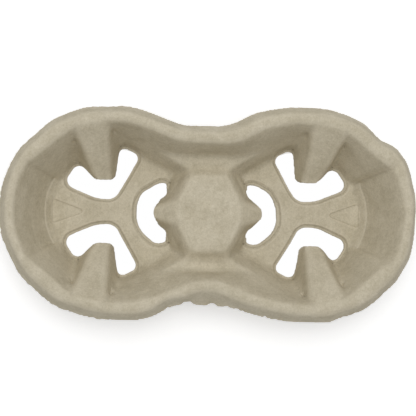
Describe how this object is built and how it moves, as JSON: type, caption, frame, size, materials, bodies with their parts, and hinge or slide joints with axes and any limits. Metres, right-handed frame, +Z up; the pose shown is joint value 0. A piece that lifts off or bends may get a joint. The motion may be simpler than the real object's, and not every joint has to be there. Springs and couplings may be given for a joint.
{
  "type": "moulded pulp cup carrier",
  "caption": "Moulded pulp tray with a waisted rim that carries takeaway cups upright in round pockets with gripping tongues and an open floor.",
  "frame": {"origin": "on the resting plane, midway between the two cups", "axes": "+X along the tray from cup to cup, +Y across it towards the narrower side of the skirt, +Z up out of the pockets"},
  "size_m": [0.2204, 0.114, 0.042],
  "materials": {
    "moulded_pulp": "matt fibrous grey-beige pulp"
  },
  "bodies": {
    "root": {"cup_carrier": "moulded_pulp"}
  },
  "joints": []
}
